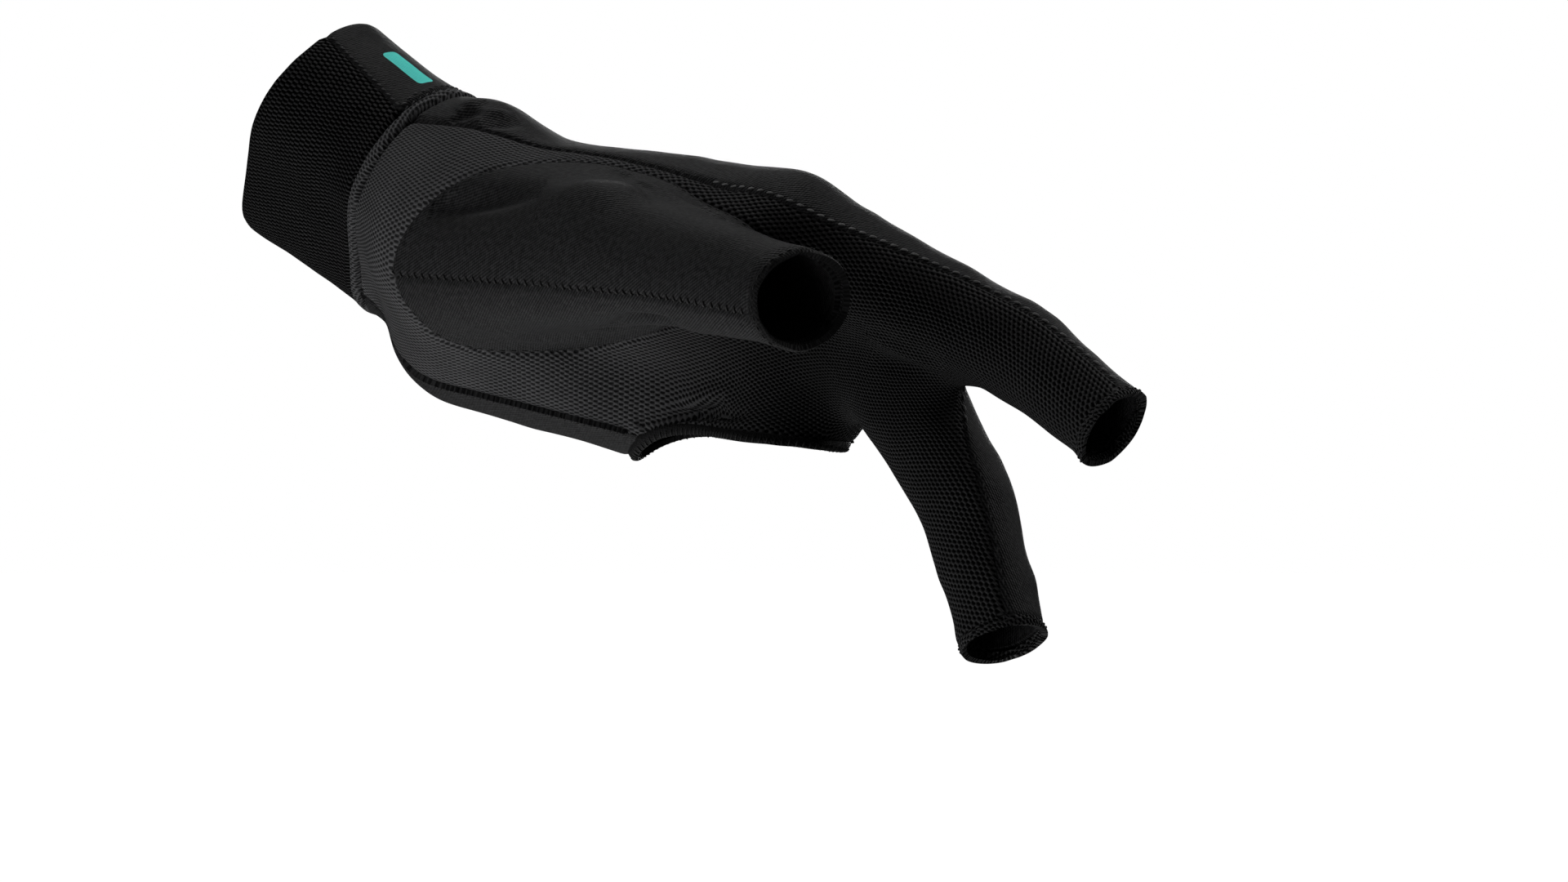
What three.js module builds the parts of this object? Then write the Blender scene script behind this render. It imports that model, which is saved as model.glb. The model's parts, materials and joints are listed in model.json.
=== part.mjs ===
// A left three-finger billiard glove in the form that it takes when worn: thumb, index and middle finger have
// short sleeves, and the ring and little fingers leave the palm through one shared opening.
// Millimetres, +Z up. The origin is the middle of the cuff's mouth, where the wrist goes in. The fingers
// point towards +X, and the palm is turned down and towards -Y.
import * as THREE from 'three';

// Driving dimensions.
const wall = 1.3; // thickness of the knit
const raised = 0.5; // how far a hem or a welt stands proud of the cloth beside it
const seamGap = 0.4; // between neighbouring pieces
const hemWidth = 2.2;
const weltWidth = 2.8;
const netCell = 5.5; // edge of the grid that the net of the form is drawn on
const netShift = [0.85, 0.55, 0.7]; // share of a cell that the grid is moved by, to miss the narrowest places
const snapReach = 1.3; // a point of the net this close to a seam moves onto it
const relaxRounds = 6;
const ownShare = 0.4; // how much of its own place a point keeps while the net is evened out
const settleRounds = 3;

const point = (x, y, z) => new THREE.Vector3(x, y, z);

// Places along the middle of the cuff, the palm and the sleeves.
const joints = {
  forearm: point(-27, 17, 19),
  cuffMouth: point(0.2, 0, 0.2),
  wrist: point(22.7, -12.5, -16),
  carpus: point(40, -23, -24),
  indexKnuckle: point(95, -62.5, -24),
  indexMiddle: point(137.4, -80.5, -46.4),
  indexEnd: point(153, -92.5, -60.4),
  indexTip: point(165, -101.5, -71),
  middleKnuckle: point(107.2, -49.5, -37),
  middleMiddle: point(127.4, -72.5, -73.1),
  middleEnd: point(133.7, -84.5, -98.8),
  middleTip: point(138, -93, -116),
  ringKnuckle: point(100.9, -32.5, -48.9),
  littleKnuckle: point(87, -16.5, -59.8),
  littleHeel: point(32.5, -18, -39.5),
  pairRoot: point(92, -28.5, -55),
  pairEnd: point(80, -49, -86),
  thumbRoot: point(31.9, -34.5, -24.8),
  thumbKnuckle: point(64.3, -67.5, -28.5),
  thumbMiddle: point(84.8, -90.5, -33.7),
  thumbEnd: point(97.8, -103.5, -37.6),
  thumbTip: point(108, -115, -41),
  foldNear: point(38, -31, -2),
  foldFar: point(49, -7.5, -12.5),
};

// The way that each stretch faces on its palm side. The thumb's faces up, and the pair's towards the wrist.
const faces = {
  arm: point(-0.47, -0.62, -0.62),
  palm: point(-0.52, -0.63, -0.56),
  index: point(-0.6, -0.5, -0.62),
  middle: point(-0.93, -0.3, -0.05),
  pair: point(-0.77, -0.3, 0.54),
  thumb: point(0.25, -0.2, 0.95),
};

// Rounded slabs that make up the form. A slab runs from one joint to the next, with a radius and half the
// width of its flat at each end: round where no flat is given. The seam between palm and back lies at the
// height given at each end, from the slab's middle towards its palm side: at the middle where none is given.
// The blend is the fillet to the slabs above.
const slabs = [
  { from: 'forearm', to: 'cuffMouth', face: 'arm',
    radius: [18, 17.4], flat: [10.5, 10.5], seam: [4, 4], blend: 0 },
  { from: 'cuffMouth', to: 'wrist', face: 'arm',
    radius: [17.4, 17], flat: [10.5, 9.5], seam: [4, 6], blend: 1 },
  { from: 'wrist', to: 'carpus', face: 'palm', radius: [17, 15.5], flat: [9, 12], seam: [7, 0], blend: 2 },
  { from: 'carpus', to: 'indexKnuckle', face: 'palm',
    radius: [16, 12.1], flat: [7, 0], seam: [-9, 7], blend: 3 },
  { from: 'carpus', to: 'middleKnuckle', face: 'palm',
    radius: [14, 12], flat: [6, 0], seam: [4, 3], blend: 4 },
  { from: 'carpus', to: 'ringKnuckle', face: 'palm',
    radius: [14, 11.5], flat: [6, 0], seam: [6, 6], blend: 4 },
  { from: 'littleHeel', to: 'littleKnuckle', face: 'palm',
    radius: [14.6, 12], flat: [2, 0], seam: [2, 2], blend: 5 },
  { from: 'indexKnuckle', to: 'indexMiddle', face: 'index',
    radius: [11.4, 9.1], seam: [1.5, -2], blend: 0 },
  { from: 'indexMiddle', to: 'indexEnd', face: 'index', radius: [9.1, 8.1], seam: [-2, -3], blend: 1 },
  { from: 'indexEnd', to: 'indexTip', face: 'index', radius: [8.2, 7.8], seam: [-3, -3], blend: 1 },
  { from: 'middleKnuckle', to: 'middleMiddle', face: 'middle',
    radius: [10.8, 9.4], seam: [8, 3.5], blend: 0 },
  { from: 'middleMiddle', to: 'middleEnd', face: 'middle', radius: [9.4, 8.1], seam: [3, 2], blend: 1 },
  { from: 'middleEnd', to: 'middleTip', face: 'middle', radius: [8.1, 7.8], seam: [2, 2], blend: 1 },
  { from: 'pairRoot', to: 'pairEnd', face: 'pair', radius: [11.5, 10.5], flat: [11, 12], blend: 0 },
  { from: 'thumbRoot', to: 'thumbKnuckle', face: 'thumb',
    radius: [17, 13], seam: [-7, -7], blend: 0 },
  { from: 'thumbKnuckle', to: 'thumbMiddle', face: 'thumb',
    radius: [12.4, 10], seam: [-7, -5], blend: 2 },
  { from: 'thumbMiddle', to: 'thumbEnd', face: 'thumb',
    radius: [9.9, 9.2], seam: [-5, -4], blend: 1 },
  { from: 'thumbEnd', to: 'thumbTip', face: 'thumb', radius: [9.2, 9], seam: [-4, -4], blend: 1 },
  { from: 'foldNear', to: 'foldFar', face: 'palm', radius: [4, 4], seam: [8, 8], blend: 8 },
];

for (const slab of slabs) {
  slab.flat ??= [0, 0];
  slab.seam ??= [0, 0];
  slab.start = joints[slab.from];
  slab.run = joints[slab.to].clone().sub(slab.start);
  slab.palm = faces[slab.face].clone().projectOnPlane(slab.run.clone().normalize()).normalize();
  slab.across = slab.run.clone().cross(slab.palm).normalize();
}

// How far p is from a slab's surface, and how far to the palm side of its seam.
function reach(slab, p) {
  const offset = p.clone().sub(slab.start);
  const t = THREE.MathUtils.clamp(offset.dot(slab.run) / slab.run.lengthSq(), 0, 1);
  offset.addScaledVector(slab.run, -t);
  const flat = THREE.MathUtils.lerp(slab.flat[0], slab.flat[1], t);
  const side = THREE.MathUtils.clamp(offset.dot(slab.across), -flat, flat);
  const palmward = offset.dot(slab.palm) - THREE.MathUtils.lerp(slab.seam[0], slab.seam[1], t);
  const distance = offset.addScaledVector(slab.across, -side).length();
  return { distance: distance - THREE.MathUtils.lerp(slab.radius[0], slab.radius[1], t), palmward };
}

// The lesser of two values, with a fillet of a size where they are close.
function softMin(a, b, size) {
  if (size <= 0 || a === Infinity) return Math.min(a, b);
  const near = Math.max(size - Math.abs(a - b), 0) / size;
  return Math.min(a, b) - (near * near * size) / 4;
}

const slabsFacing = (...names) => slabs.filter((slab) => names.includes(slab.face));

// Sizes of the fillets between the palm and what branches off from it.
const fillets = { index: 4, middle: 10, pair: 12, thumb: 12 };
const trunk = slabsFacing('arm', 'palm');
const branches = Object.entries(fillets).map(([face, fillet]) => ({ fillet, slabs: slabsFacing(face) }));
const joined = (run, p) => (
  run.reduce((least, slab) => softMin(least, reach(slab, p).distance, slab.blend), Infinity)
);

// Signed distance to the glove's outside: negative inside.
function form(p) {
  const toTrunk = joined(trunk, p);
  return branches.reduce((least, branch) => softMin(least, joined(branch.slabs, p), branch.fillet), toTrunk);
}

// Slope of a function of place.
function slope(field, p) {
  const step = 0.05;
  const at = (x, y, z) => field(point(p.x + x, p.y + y, p.z + z));
  return point(
    at(step, 0, 0) - at(-step, 0, 0),
    at(0, step, 0) - at(0, -step, 0),
    at(0, 0, step) - at(0, 0, -step),
  ).divideScalar(2 * step);
}

// Moves a point onto the outside.
function ontoForm(p) {
  for (let round = 0; round < settleRounds; round++) {
    const rise = slope(form, p);
    p.addScaledVector(rise, -form(p) / rise.lengthSq());
  }
  return p;
}

// A plane as a field: positive on the side that its normal points to.
const plane = (at, normal) => {
  const unit = normal.clone().normalize();
  return (p) => p.clone().sub(at).dot(unit);
};

// How far p lies to the palm side of the seams, mixed from the slabs given, the nearest most.
const palmwardOf = (used) => {
  const mixLength = 6; // a slab further off by this much counts for about a third
  return (p) => {
    let total = 0;
    let weight = 0;
    for (const slab of used) {
      const { distance, palmward } = reach(slab, p);
      const share = Math.exp(-distance / mixLength);
      total += share * palmward;
      weight += share;
    }
    return total / weight;
  };
};

const distanceTo = (used) => (p) => Math.min(...used.map((slab) => reach(slab, p).distance));

// The net: a surface of four-sided cells on the form, evened out and laid back on it.
const points = [];
const seamPoints = new Set(); // points that a seam already runs through
const edgeName = (a, b) => (a < b ? `${a} ${b}` : `${b} ${a}`);

const steps = [[1, 0, 0], [0, 1, 0], [0, 0, 1]];
const corners = [0, 1, 2, 3, 4, 5, 6, 7].map((n) => [n & 1, (n >> 1) & 1, n >> 2]);
const cellFaces = [0, 1, 2].flatMap((axis) => [0, 1].map((side) => {
  const [first, u, v] = [side << axis, 1 << (axis + 1) % 3, 1 << (axis + 2) % 3];
  return [first, first | u, first | u | v, first | v];
}));

// The sheets of the surface in one cell, from the form's value at its corners. Each is a list of crossed
// edges, with the corner and axis that an edge runs from and the share of its length where it is crossed.
function sheets(value) {
  const inside = value.map((here) => here < 0);
  const sheetOf = new Map();
  const merge = (one, other) => {
    const [kept, gone] = [sheetOf.get(one), sheetOf.get(other)];
    for (const [name, sheet] of sheetOf) if (sheet === gone) sheetOf.set(name, kept);
  };
  const crossed = [];
  for (let start = 0; start < 8; start++)
    for (let axis = 0; axis < 3; axis++) {
      const end = start | (1 << axis);
      if (end === start || inside[start] === inside[end]) continue;
      sheetOf.set(`${start} ${end}`, crossed.length);
      const share = value[start] / (value[start] - value[end]);
      crossed.push({ start, axis, share, name: `${start} ${end}` });
    }
  for (const face of cellFaces) {
    const names = face.map((a, n) => edgeName(a, face[(n + 1) % 4]));
    const here = names.filter((name) => sheetOf.has(name));
    if (here.length === 2) merge(...here);
    if (here.length === 4) face.forEach((a, n) => inside[a] && merge(names[n], names[(n + 3) % 4]));
  }
  const found = new Set(sheetOf.values());
  return [...found].map((sheet) => crossed.filter(({ name }) => sheetOf.get(name) === sheet));
}

function drawNet() {
  const reachOut = 22; // how far the form may stand out beyond its joints
  const box = new THREE.Box3().setFromPoints(Object.values(joints)).expandByScalar(reachOut);
  const low = box.min.clone().sub(point(...netShift).multiplyScalar(netCell));
  const count = box.max.clone().sub(low).divideScalar(netCell).ceil().addScalar(1);
  const index = (i, j, k) => (k * count.y + j) * count.x + i;
  const place = (i, j, k) => point(low.x + i * netCell, low.y + j * netCell, low.z + k * netCell);
  const value = new Float64Array(count.x * count.y * count.z);
  for (let k = 0; k < count.z; k++)
    for (let j = 0; j < count.y; j++)
      for (let i = 0; i < count.x; i++) value[index(i, j, k)] = form(place(i, j, k));

  const cellPoint = new Map();
  for (let k = 0; k + 1 < count.z; k++)
    for (let j = 0; j + 1 < count.y; j++)
      for (let i = 0; i + 1 < count.x; i++)
        for (const sheet of sheets(corners.map(([a, b, c]) => value[index(i + a, j + b, k + c)]))) {
          const sum = point(0, 0, 0);
          for (const { start, axis, share } of sheet) {
            const [a, b, c] = corners[start];
            sum.add(place(i + a, j + b, k + c).addScaledVector(point(...steps[axis]), share * netCell));
            cellPoint.set(`${index(i, j, k)} ${start} ${axis}`, points.length);
          }
          points.push(sum.divideScalar(sheet.length));
        }

  const quads = [];
  for (let k = 1; k + 1 < count.z; k++)
    for (let j = 1; j + 1 < count.y; j++)
      for (let i = 1; i + 1 < count.x; i++)
        steps.forEach((step, axis) => {
          const here = value[index(i, j, k)];
          const there = value[index(i + step[0], j + step[1], k + step[2])];
          if (here < 0 === there < 0) return;
          const [uAxis, vAxis] = [(axis + 1) % 3, (axis + 2) % 3];
          const [u, v] = [steps[uAxis], steps[vAxis]];
          const around = [[1, 1], [0, 1], [0, 0], [1, 0]].map(([a, b]) => {
            const cell = index(i - a * u[0] - b * v[0], j - a * u[1] - b * v[1], k - a * u[2] - b * v[2]);
            return cellPoint.get(`${cell} ${(a << uAxis) | (b << vAxis)} ${axis}`);
          });
          quads.push(here < 0 ? around : around.reverse());
        });
  return quads;
}

function relax(quads) {
  const neighbours = points.map(() => new Set());
  for (const quad of quads)
    quad.forEach((a, n) => {
      const b = quad[(n + 1) % 4];
      neighbours[a].add(b);
      neighbours[b].add(a);
    });
  for (let round = 0; round < relaxRounds; round++) {
    const moved = points.map((p, a) => {
      const mean = point(0, 0, 0);
      for (const b of neighbours[a]) mean.add(points[b]);
      return mean.divideScalar(neighbours[a].size).lerp(p, ownShare);
    });
    moved.forEach((p, a) => points[a].copy(ontoForm(p)));
  }
}

// Halves a four-sided cell along its shorter diagonal.
function halves([a, b, c, d]) {
  return points[a].distanceTo(points[c]) < points[b].distanceTo(points[d])
    ? [[a, b, c], [a, c, d]]
    : [[b, c, d], [b, d, a]];
}

// Moves a point along the form until the field is zero there.
function ontoSeam(p, field) {
  const leastSlope = 0.1; // keeps the step short where the field hardly changes along the form
  for (let round = 0; round < settleRounds; round++) {
    const along = slope(field, p).projectOnPlane(slope(form, p).normalize());
    p.addScaledVector(along, -field(p) / Math.max(along.lengthSq(), leastSlope));
    ontoForm(p);
  }
  return p;
}

// The stretches of a patch that hang together by their edges, the largest first.
function stretches(patch) {
  const onEdge = new Map();
  patch.forEach((corner, n) => corner.forEach((a, m) => {
    const name = edgeName(a, corner[(m + 1) % 3]);
    onEdge.set(name, [...(onEdge.get(name) ?? []), n]);
  }));
  const seen = new Set();
  const found = [];
  for (let first = 0; first < patch.length; first++) {
    if (seen.has(first)) continue;
    const stretch = [first];
    seen.add(first);
    for (const n of stretch)
      patch[n].forEach((a, m) => {
        for (const other of onEdge.get(edgeName(a, patch[n][(m + 1) % 3]))) {
          if (seen.has(other)) continue;
          seen.add(other);
          stretch.push(other);
        }
      });
    found.push(stretch.map((n) => patch[n]));
  }
  return found.sort((a, b) => b.length - a.length);
}

// Cuts a patch along the curve where a field is zero, and returns its positive and negative sides. An island
// that the curve leaves on one side goes to the other.
function cut(patch, field) {
  const touching = 0.05; // a point this close to the curve lies on it
  const value = new Map();
  for (const a of new Set(patch.flat())) {
    let here = field(points[a]);
    if (Math.abs(here) < snapReach && !seamPoints.has(a)) {
      ontoSeam(points[a], field);
      here = 0;
    }
    value.set(a, Math.abs(here) < touching ? 0 : here);
  }
  const edgeUses = new Map();
  for (const [a, b, c] of patch)
    for (const name of [edgeName(a, b), edgeName(b, c), edgeName(c, a)])
      edgeUses.set(name, (edgeUses.get(name) ?? 0) + 1);

  const onEdge = new Map();
  const crossing = (a, b) => {
    const name = edgeName(a, b);
    if (!onEdge.has(name)) {
      const p = points[a].clone().lerp(points[b], value.get(a) / (value.get(a) - value.get(b)));
      if (edgeUses.get(name) > 1) ontoSeam(p, field);
      onEdge.set(name, points.push(p) - 1);
    }
    return onEdge.get(name);
  };
  const sides = { 1: [], [-1]: [] };
  for (const corner of patch) {
    const sign = corner.map((a) => Math.sign(value.get(a)));
    if (!sign.includes(-1) || !sign.includes(1)) {
      sides[sign.includes(-1) ? -1 : 1].push(corner);
      continue;
    }
    const pieces = { 1: [], [-1]: [] };
    corner.forEach((a, n) => {
      const b = corner[(n + 1) % 3];
      for (const side of [1, -1]) if (sign[n] !== -side) pieces[side].push(a);
      if (sign[n] * sign[(n + 1) % 3] < 0) {
        const middle = crossing(a, b);
        pieces[1].push(middle);
        pieces[-1].push(middle);
      }
    });
    for (const side of [1, -1]) {
      const outline = pieces[side];
      sides[side].push(...(outline.length === 4 ? halves(outline) : [outline]));
    }
  }
  for (const [a, here] of value) if (here === 0) seamPoints.add(a);
  for (const a of onEdge.values()) seamPoints.add(a);
  const [above, ...islandsAbove] = stretches(sides[1]);
  const [below, ...islandsBelow] = stretches(sides[-1]);
  return [above.concat(...islandsBelow), below.concat(...islandsAbove)];
}

// Splits a patch without cutting: each triangle goes to the side that its middle is on.
function part(patch, field) {
  const middle = (corner) => corner.reduce((sum, a) => sum.add(points[a]), point(0, 0, 0)).divideScalar(3);
  const above = new Set(patch.filter((corner) => field(middle(corner)) > 0));
  return [[...above], patch.filter((corner) => !above.has(corner))];
}

// Gives a patch its thickness: the outside stands proud of the form by lift, and the edge is drawn in by half
// a gap.
function thicken(patch, lift = 0) {
  const leastTurn = 0.5; // keeps the corners of a rim from being drawn in too far
  const open = new Map();
  for (const corner of patch)
    corner.forEach((a, n) => {
      const b = corner[(n + 1) % 3];
      open.set(`${a} ${b}`, [a, b]);
    });
  const rim = [...open.values()].filter(([a, b]) => !open.has(`${b} ${a}`));

  const normal = new Map();
  for (const a of new Set(patch.flat())) normal.set(a, slope(form, points[a]).normalize());
  const inward = new Map();
  for (const [a, b] of rim) {
    const along = points[b].clone().sub(points[a]).normalize();
    for (const end of [a, b]) {
      const side = normal.get(end).clone().cross(along).normalize();
      inward.set(end, [...(inward.get(end) ?? []), side]);
    }
  }
  const vertices = [];
  const outer = new Map();
  for (const [a, out] of normal) {
    const p = points[a].clone();
    const sides = inward.get(a);
    if (sides) {
      const mean = sides.reduce((sum, side) => sum.add(side), point(0, 0, 0)).normalize();
      p.addScaledVector(mean, seamGap / 2 / Math.max(mean.dot(sides[0]), leastTurn));
    }
    outer.set(a, vertices.length);
    vertices.push(p.clone().addScaledVector(out, lift), p.clone().addScaledVector(out, -wall));
  }
  const triangles = [];
  for (const [a, b, c] of patch) {
    const [o, p, q] = [outer.get(a), outer.get(b), outer.get(c)];
    triangles.push(o, p, q, q + 1, p + 1, o + 1);
  }
  for (const [a, b] of rim) {
    const [o, p] = [outer.get(a), outer.get(b)];
    triangles.push(p, o, o + 1, p, o + 1, p + 1);
  }
  const geometry = new THREE.BufferGeometry();
  const place = vertices.flatMap((p) => p.toArray());
  geometry.setAttribute('position', new THREE.Float32BufferAttribute(place, 3));
  geometry.setIndex(triangles);
  geometry.computeVertexNormals();
  return geometry;
}

// Seams and openings. Each is a field that is zero along the curve.
const seamRound = { thumb: 9, palm: 3, crotch: 6, heel: 8 }; // sizes of the fillets where a seam turns
const sleeveRoot = 4; // how far a finger's sleeve reaches past the middle of the crotch beside it
const thumbReach = { under: 10.5, top: 2.5, change: 9 }; // how far the thumb's seam lies out on the palm
const armWay = joints.wrist.clone().sub(joints.cuffMouth);
const atWrist = plane(joints.wrist, armWay);
const atMouth = plane(point(0, 0, 0), point(0.7, -0.32, -0.64)); // a little askew to the arm
const atCuffSeam = plane(point(17, -33.5, 4.5), point(-0.7, 0.05, -0.72));
const mixedPalm = palmwardOf(slabsFacing('arm', 'palm', 'index', 'middle'));
const outerSeam = plane(point(45.4, -26.7, -56.7), point(0.11, -0.777, 0.583));
const toPalm = (p) => softMin(mixedPalm(p), outerSeam(p), seamRound.palm);
const toThumbTop = palmwardOf(slabsFacing('thumb'));
const thumbNear = distanceTo(slabsFacing('thumb'));
const restNear = distanceTo(slabsFacing('arm', 'palm', 'index', 'middle', 'pair'));
const thumbPlane = plane(point(34.9, -44.8, -27), point(0.15, -0.9, -0.46));
const atThumbSeam = (p) => {
  const above = THREE.MathUtils.smoothstep(toThumbTop(p), -thumbReach.change, thumbReach.change);
  const out = THREE.MathUtils.lerp(thumbReach.under, thumbReach.top, above);
  return softMin(thumbPlane(p), restNear(p) - thumbNear(p) + out, seamRound.thumb);
};
const openings = {
  index: plane(joints.indexEnd, joints.indexTip.clone().sub(joints.indexMiddle)),
  middle: plane(joints.middleEnd, joints.middleTip.clone().sub(joints.middleMiddle)),
  thumb: plane(joints.thumbEnd, point(0.48, -0.86, -0.18)),
};
const palmHemPlane = plane(point(72, -34, -60.5), point(-0.12, 0, -0.99));
const crotchPlane = plane(point(106, -52, -60), point(-0.85, 0.35, -0.35));
const heelPlane = plane(point(66.5, -24, -64), point(0.8, -0.1, -0.59));
const atPalmHem = (p) => {
  const nearFingers = softMin(palmHemPlane(p), crotchPlane(p), seamRound.crotch);
  return softMin(nearFingers, heelPlane(p), seamRound.heel);
};

const net = drawNet();
relax(net);
let shell = net.flatMap(halves);
const pieces = {};

[shell] = cut(shell, atMouth);
let cuff;
[shell, cuff] = cut(shell, (p) => atWrist(p) - weltWidth / 2);
[pieces.wrist_welt, cuff] = cut(cuff, (p) => atWrist(p) + weltWidth / 2);
[pieces.cuff_palm, pieces.cuff_back] = cut(cuff, atCuffSeam);

let thumb;
[thumb, shell] = cut(shell, atThumbSeam);
[, thumb] = cut(thumb, openings.thumb);
[pieces.thumb_hem, thumb] = cut(thumb, (p) => openings.thumb(p) + hemWidth);
[pieces.thumb_top, pieces.thumb_under] = cut(thumb, toThumbTop);

for (const finger of ['index', 'middle']) {
  const fingerNear = distanceTo(slabsFacing(finger));
  const othersNear = distanceTo(slabs.filter((slab) => slab.face !== finger));
  let sleeve;
  [sleeve, shell] = part(shell, (p) => othersNear(p) - fingerNear(p) - sleeveRoot);
  [, sleeve] = cut(sleeve, openings[finger]);
  [pieces[`${finger}_hem`], sleeve] = cut(sleeve, (p) => openings[finger](p) + hemWidth);
  shell = shell.concat(sleeve);
}
[, shell] = cut(shell, atPalmHem);
[pieces.palm_hem, shell] = cut(shell, (p) => atPalmHem(p) + hemWidth);
[pieces.palm_panel, pieces.back_panel] = cut(shell, toPalm);

// An open mesh knit on the palm's side, a smooth stretch knit elsewhere, and narrow trim along the edges.
const cloths = {
  mesh: { color: 0x121213, roughness: 0.95, metalness: 0 },
  smooth: { color: 0x19191a, roughness: 0.8, metalness: 0 },
  trim: { color: 0x0d0d0e, roughness: 0.9, metalness: 0 },
};
const meshPieces = ['cuff_palm', 'palm_panel'];
const smoothPieces = ['cuff_back', 'back_panel', 'thumb_top', 'thumb_under'];

const glove = new THREE.Group();
for (const [name, patch] of Object.entries(pieces)) {
  const plain = meshPieces.includes(name) ? 'mesh' : 'trim';
  const cloth = smoothPieces.includes(name) ? 'smooth' : plain;
  const material = new THREE.MeshStandardMaterial(cloths[cloth]);
  const solid = new THREE.Mesh(thicken(patch, cloth === 'trim' ? raised : 0), material);
  solid.name = name;
  glove.add(solid);
}

export default glove;
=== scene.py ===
import json
import math

import bmesh
import bpy
import numpy as np
from mathutils import Matrix, Vector, kdtree, noise
from mathutils.bvhtree import BVHTree

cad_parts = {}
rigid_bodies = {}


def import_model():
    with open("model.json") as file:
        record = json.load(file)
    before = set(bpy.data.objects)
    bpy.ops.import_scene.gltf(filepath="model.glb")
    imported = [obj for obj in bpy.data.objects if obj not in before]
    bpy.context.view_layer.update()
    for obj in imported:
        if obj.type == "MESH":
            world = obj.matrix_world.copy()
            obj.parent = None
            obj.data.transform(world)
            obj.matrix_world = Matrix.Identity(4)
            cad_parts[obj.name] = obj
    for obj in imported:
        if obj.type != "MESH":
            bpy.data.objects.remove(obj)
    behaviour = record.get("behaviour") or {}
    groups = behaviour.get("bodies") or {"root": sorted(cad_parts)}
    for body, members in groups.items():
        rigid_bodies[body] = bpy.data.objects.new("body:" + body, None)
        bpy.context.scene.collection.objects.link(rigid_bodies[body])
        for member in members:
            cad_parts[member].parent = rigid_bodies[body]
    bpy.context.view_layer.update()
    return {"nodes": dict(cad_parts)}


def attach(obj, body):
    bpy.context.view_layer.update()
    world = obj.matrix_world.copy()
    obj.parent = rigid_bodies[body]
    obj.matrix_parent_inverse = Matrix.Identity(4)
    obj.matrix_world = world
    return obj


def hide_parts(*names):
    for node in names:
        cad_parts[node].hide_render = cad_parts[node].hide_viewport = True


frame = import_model()
nodes = frame["nodes"]
scene = bpy.context.scene
print("frame loaded:", len(nodes), "nodes")

mm = 0.001

# camera, level and looking along +Y, as the photograph was taken
view = {"place": Vector((0.0942, -0.8655, -0.0622)), "lens": 100, "sensor": 36, "width": 1920, "height": 1080}
focal = view["width"] * view["lens"] / view["sensor"]

bpy.ops.object.camera_add(location=view["place"], rotation=(math.pi / 2, 0, 0))
camera = bpy.context.object
camera.name = "camera"
camera.data.lens = view["lens"]
camera.data.sensor_width = view["sensor"]
camera.data.clip_end = 50
scene.camera = camera


def sightLine(px, py):  # from the camera through a pixel of the photograph
    return Vector(((px - view["width"] / 2) / focal, 1, -(py - view["height"] / 2) / focal)).normalized()


def pixelOf(place):  # where points show in the photograph
    away = place - np.array(view["place"])
    return np.stack([view["width"] / 2 + focal * away[..., 0] / away[..., 1],
                     view["height"] / 2 - focal * away[..., 2] / away[..., 1]], axis=-1)


# working on one object at a time
def pick(*objects):
    bpy.ops.object.select_all(action="DESELECT")
    for o in objects:
        o.select_set(True)
    bpy.context.view_layer.objects.active = objects[0]


def edit(o, how="VERT"):
    pick(o)
    bpy.ops.object.mode_set(mode="EDIT")
    bpy.ops.mesh.select_mode(type=how)
    bpy.ops.mesh.select_all(action="DESELECT")
    return bmesh.from_edit_mesh(o.data)


def leave():
    bpy.ops.object.mode_set(mode="OBJECT")


def useModifier(o, name, kind, **settings):
    pick(o)
    modifier = o.modifiers.new(name, kind)
    for setting, value in settings.items():
        setattr(modifier, setting, value)
    bpy.ops.object.modifier_apply(modifier=modifier.name)


def remove(o):
    mesh = o.data
    bpy.data.objects.remove(o)
    bpy.data.meshes.remove(mesh)


def readVertices(o, what="co"):
    values = np.zeros(len(o.data.vertices) * 3)
    o.data.vertices.foreach_get(what, values)
    return values.reshape(-1, 3)


def moveVertices(o, place):
    o.data.vertices.foreach_set("co", place.ravel())
    o.data.update()


# the outer side of a CAD wall, as an open sheet of four-sided faces
wallOf = {"edge": 1.8 * mm, "panel": 1.3 * mm}
wallTolerance = 0.0006 * mm
samePlace = 0.01 * mm  # corners closer than this are one
joinedTo = {"face_threshold": math.radians(50), "shape_threshold": math.radians(70)}


def outerSheet(node, name):
    wall = wallOf["edge" if node.endswith(("hem", "welt")) else "panel"]
    sheet = bpy.data.objects.new(name, nodes[node].data.copy())
    scene.collection.objects.link(sheet)
    sheet.data.materials.clear()
    edit(sheet)
    bpy.ops.mesh.select_all(action="SELECT")
    bpy.ops.mesh.remove_doubles(threshold=samePlace)
    bpy.ops.mesh.customdata_custom_splitnormals_clear()
    leave()
    shape = edit(sheet, "FACE")
    for face in shape.faces:  # the rim's faces have an edge as long as the wall is thick
        face.select_set(any(abs(edge.calc_length() - wall) < wallTolerance for edge in face.edges))
    bmesh.update_edit_mesh(sheet.data)
    bpy.ops.mesh.delete(type="FACE")
    bpy.ops.mesh.separate(type="LOOSE")
    leave()
    sides = [o for o in scene.objects if o.type == "MESH" and o.name.split(".")[0] == name]
    sides.sort(key=lambda o: sum(face.area for face in o.data.polygons), reverse=True)
    for other in sides[1:]:
        remove(other)
    sheet = sides[0]
    sheet.name = sheet.data.name = name
    edit(sheet, "FACE")
    bpy.ops.mesh.select_all(action="SELECT")
    bpy.ops.mesh.tris_convert_to_quads(**joinedTo)
    leave()
    return sheet


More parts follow.
